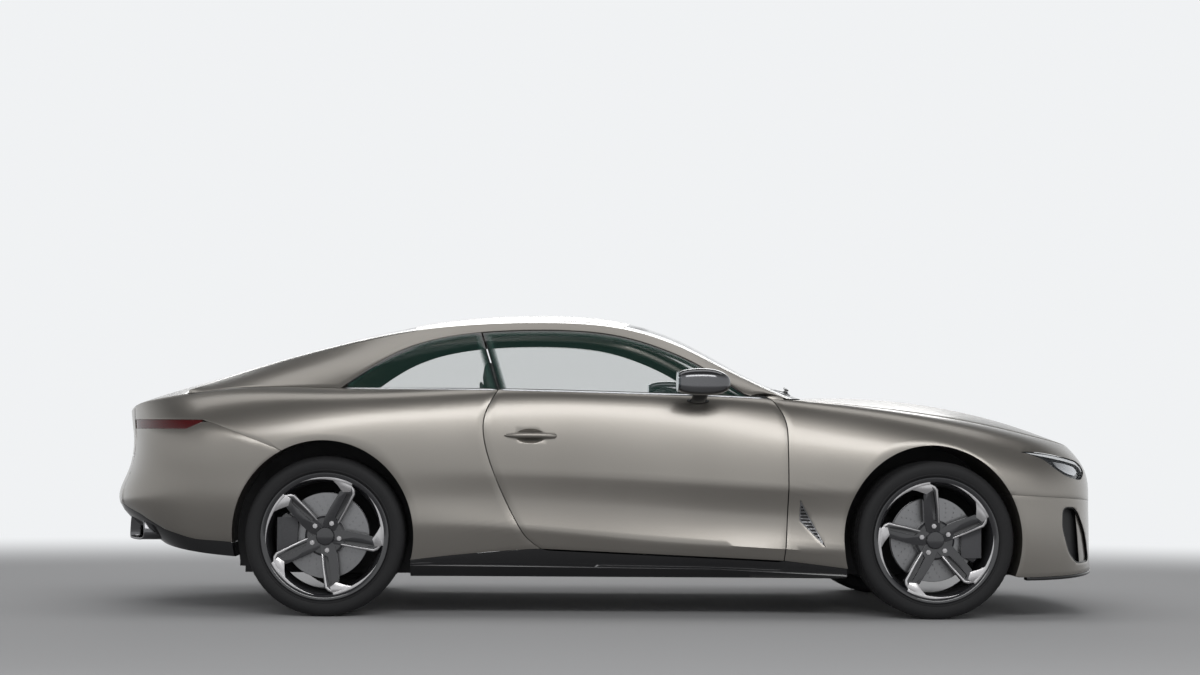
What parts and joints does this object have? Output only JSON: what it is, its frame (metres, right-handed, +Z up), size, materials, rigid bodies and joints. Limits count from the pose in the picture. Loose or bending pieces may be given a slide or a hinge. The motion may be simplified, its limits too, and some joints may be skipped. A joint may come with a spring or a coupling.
{
  "type": "coupe car",
  "caption": "Two-door grand touring coupe with a long bonnet, sloping roof, broad rear haunches and large kinked-spoke wheels; doors, bonnet, boot lid, steering and wheels move.",
  "frame": {"origin": "on the ground under the middle of the car's length and width, standing on its tyres", "axes": "+X forward, +Y to the car's left, +Z up"},
  "size_m": [4.8235, 2.24, 1.452],
  "materials": {
    "satin_paint": "satin warm grey metallic",
    "gloss_black": "gloss black",
    "underbody": "matt black coating",
    "tinted_glass": "green tinted",
    "lamp_glass": "clear lens over silver reflectors",
    "red_lamp": "dark red clear lens",
    "dark_alloy": "gloss dark with machined tips",
    "rubber": "matt",
    "cast_iron": "machined and coated",
    "hide": "dark hide",
    "engine_metal": "cast"
  },
  "bodies": {
    "root": {"roof_panel": "satin_paint", "front_bumper": "satin_paint", "rear_bumper": "satin_paint", "windscreen": "tinted_glass", "rear_window": "tinted_glass", "grille": "gloss_black", "lower_grille": "gloss_black", "splitter": "gloss_black", "diffuser": "gloss_black", "frame_right": "satin_paint", "wing_right": "satin_paint", "quarter_right": "satin_paint", "quarter_glass_right": "tinted_glass", "headlamp_right": "lamp_glass", "vent_right": "gloss_black", "tail_lamp_right": "red_lamp", "sill_right": "gloss_black", "seat_right": "hide", "knuckle_rear_right": "cast_iron", "frame_left": "satin_paint", "wing_left": "satin_paint", "quarter_left": "satin_paint", "quarter_glass_left": "tinted_glass", "headlamp_left": "lamp_glass", "vent_left": "gloss_black", "tail_lamp_left": "red_lamp", "sill_left": "gloss_black", "seat_left": "hide", "knuckle_rear_left": "cast_iron", "floor_pan": "underbody", "firewall": "underbody", "bulkhead": "underbody", "subframe_front": "underbody", "subframe_rear": "underbody", "engine": "engine_metal", "rear_seat": "hide", "dashboard": "hide"},
    "door_right_body": {"door_right": "satin_paint", "door_glass_right": "tinted_glass", "mirror_right": "gloss_black", "handle_right": "satin_paint"},
    "steer_right_body": {"knuckle_front_right": "cast_iron"},
    "wheel_front_right_body": {"tyre_front_right": "rubber", "rim_front_right": "dark_alloy"},
    "wheel_rear_right_body": {"tyre_rear_right": "rubber", "rim_rear_right": "dark_alloy"},
    "door_left_body": {"door_left": "satin_paint", "door_glass_left": "tinted_glass", "mirror_left": "gloss_black", "handle_left": "satin_paint"},
    "steer_left_body": {"knuckle_front_left": "cast_iron"},
    "wheel_front_left_body": {"tyre_front_left": "rubber", "rim_front_left": "dark_alloy"},
    "wheel_rear_left_body": {"tyre_rear_left": "rubber", "rim_rear_left": "dark_alloy"},
    "bonnet_body": {"bonnet": "satin_paint"},
    "boot_body": {"boot_lid": "satin_paint"},
    "steering_wheel_body": {"steering_wheel": "hide"}
  },
  "joints": [
    {"name": "door_right_hinge", "type": "hinge", "parent": "root", "child": "door_right_body", "pos_m": [0.751, -0.918, 0.5], "axis": [0, 0, 1], "range_deg": [0, 62]},
    {"name": "steer_right", "type": "hinge", "parent": "root", "child": "steer_right_body", "pos_m": [1.52, -0.786, 0.37], "axis": [0, 0, 1], "range_deg": [-32, 32]},
    {"name": "wheel_front_right_spin", "type": "hinge", "parent": "steer_right_body", "child": "wheel_front_right_body", "pos_m": [1.52, -0.8285, 0.37], "axis": [0, 1, 0], "continuous": true},
    {"name": "wheel_rear_right_spin", "type": "hinge", "parent": "root", "child": "wheel_rear_right_body", "pos_m": [-1.331, -0.8085, 0.37], "axis": [0, 1, 0], "continuous": true},
    {"name": "door_left_hinge", "type": "hinge", "parent": "root", "child": "door_left_body", "pos_m": [0.751, 0.918, 0.5], "axis": [0, 0, -1], "range_deg": [0, 62]},
    {"name": "steer_left", "type": "hinge", "parent": "root", "child": "steer_left_body", "pos_m": [1.52, 0.786, 0.37], "axis": [0, 0, 1], "range_deg": [-32, 32]},
    {"name": "wheel_front_left_spin", "type": "hinge", "parent": "steer_left_body", "child": "wheel_front_left_body", "pos_m": [1.52, 0.8285, 0.37], "axis": [0, 1, 0], "continuous": true},
    {"name": "wheel_rear_left_spin", "type": "hinge", "parent": "root", "child": "wheel_rear_left_body", "pos_m": [-1.331, 0.8085, 0.37], "axis": [0, 1, 0], "continuous": true},
    {"name": "bonnet_hinge", "type": "hinge", "parent": "root", "child": "bonnet_body", "pos_m": [0.92, 0, 1.01], "axis": [0, -1, 0], "range_deg": [0, 48]},
    {"name": "boot_hinge", "type": "hinge", "parent": "root", "child": "boot_body", "pos_m": [-1.85, 0, 1.1275], "axis": [0, 1, 0], "range_deg": [0, 70]},
    {"name": "steering_wheel_turn", "type": "hinge", "parent": "root", "child": "steering_wheel_body", "pos_m": [0.42, -0.4, 0.925], "axis": [-0.9135, 0, 0.4067], "range_deg": [-448, 448]}
  ],
  "couplings": [
    {"joint": "steer_left", "follows": "steer_right", "ratio": 1},
    {"joint": "steering_wheel_turn", "follows": "steer_right", "ratio": 14}
  ]
}
